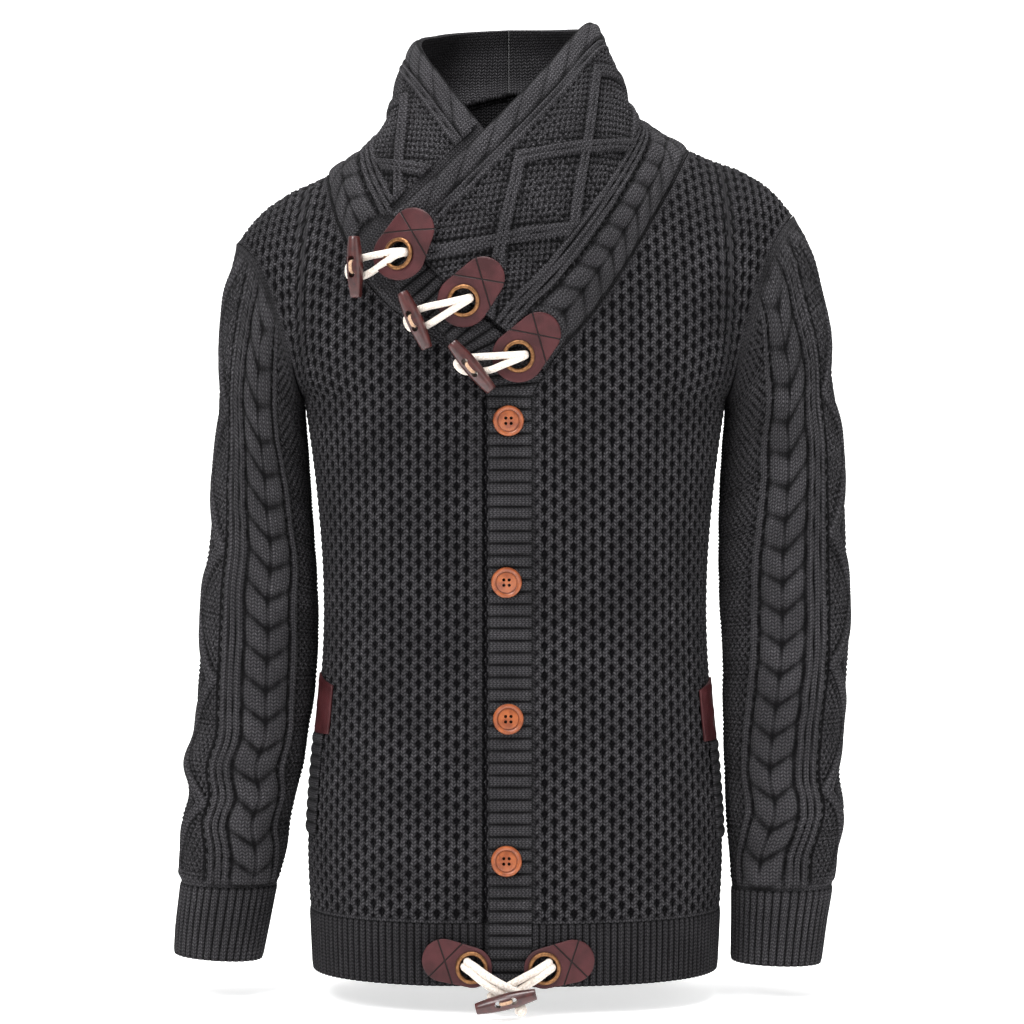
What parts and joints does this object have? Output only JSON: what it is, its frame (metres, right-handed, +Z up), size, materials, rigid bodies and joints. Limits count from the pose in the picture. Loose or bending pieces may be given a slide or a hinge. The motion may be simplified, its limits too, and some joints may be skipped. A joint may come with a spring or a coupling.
{
  "type": "shawl collar cardigan",
  "caption": "Worn cable-knit wrap cardigan with a wide shawl collar, ribbed hem and cuffs, a buttoned band, leather patches, cord loops and toggles.",
  "frame": {"origin": "between the wearer's shoulders, inside the hollow, level with the top of the shoulder line", "axes": "+X to the wearer's left, +Z up, the garment's front faces -Y"},
  "size_m": [0.5498, 0.2785, 0.7979],
  "materials": {
    "knit": "heathered charcoal wool knit",
    "leather": "dark oxblood leather, soft sheen",
    "brass": "aged brass",
    "horn": "dark red-brown horn",
    "cord": "off-white braided cord",
    "button": "orange-brown, soft gloss"
  },
  "bodies": {
    "root": {"back": "knit", "button_1": "button", "button_2": "button", "button_3": "button", "button_4": "button", "button_band": "knit", "collar_left": "knit", "collar_right": "knit", "cord_1": "cord", "cord_2": "cord", "cord_3": "cord", "cord_hem_left_1": "cord", "cord_hem_left_2": "cord", "cord_hem_right_1": "cord", "cord_hem_right_2": "cord", "cord_knot": "cord", "cuff_left": "knit", "cuff_right": "knit", "eyelet_1": "brass", "eyelet_2": "brass", "eyelet_3": "brass", "eyelet_hem_left": "brass", "eyelet_hem_right": "brass", "front_left": "knit", "front_right": "knit", "hem_back": "knit", "hem_front_left": "knit", "hem_front_right": "knit", "patch_1": "leather", "patch_2": "leather", "patch_3": "leather", "patch_hem_left": "leather", "patch_hem_right": "leather", "pocket_edge_left": "knit", "pocket_edge_right": "knit", "pocket_leather_left": "leather", "pocket_leather_right": "leather", "sleeve_left": "knit", "sleeve_right": "knit", "tie_1": "cord", "tie_2": "cord", "tie_3": "cord", "tie_hem": "cord", "toggle_1": "horn", "toggle_2": "horn", "toggle_3": "horn", "toggle_hem": "horn"}
  },
  "joints": []
}
